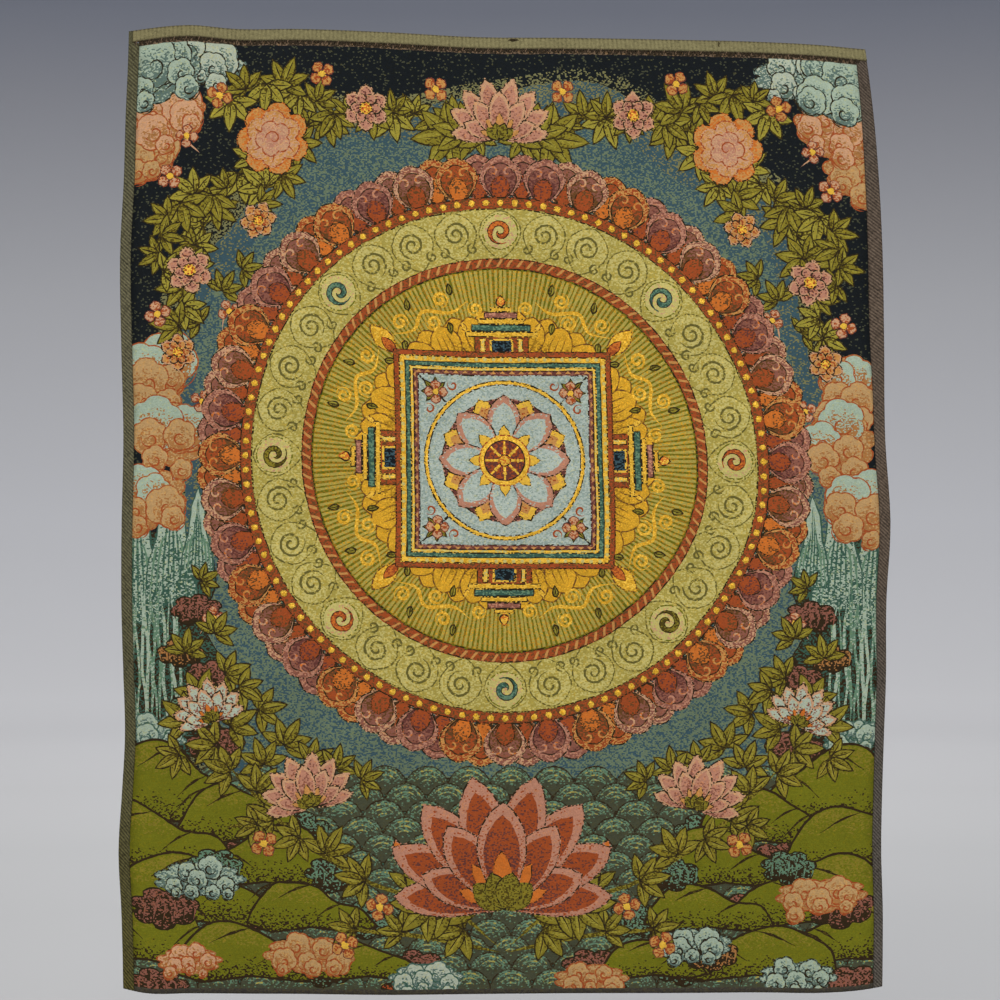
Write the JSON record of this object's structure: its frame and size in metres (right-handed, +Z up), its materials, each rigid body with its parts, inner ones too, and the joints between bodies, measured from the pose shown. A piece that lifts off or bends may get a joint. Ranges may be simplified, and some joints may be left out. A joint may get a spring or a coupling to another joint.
{
  "type": "woven thangka wall hanging",
  "caption": "Rectangular woven brocade picture hanging with a ribbed heading along its top edge and narrow twill bands down its sides, hung by the top edge.",
  "frame": {"origin": "middle of the hanging's top edge, where whatever holds it up takes it", "axes": "+Z up along the cloth's height, +X along its width, the picture faces -Y"},
  "size_m": [0.4795, 0.013, 0.6029],
  "materials": {
    "brocade": "silk-like jacquard brocade with some metallic thread, low sheen",
    "ribbed_heading": "fine vertical ribs, matt cream and olive tan",
    "left_twill": "diagonal twill, matt olive brown",
    "right_twill": "diagonal twill, matt mauve brown"
  },
  "bodies": {
    "root": {"picture_panel": "brocade", "top_heading": "ribbed_heading", "left_border": "left_twill", "right_border": "right_twill"}
  },
  "joints": []
}
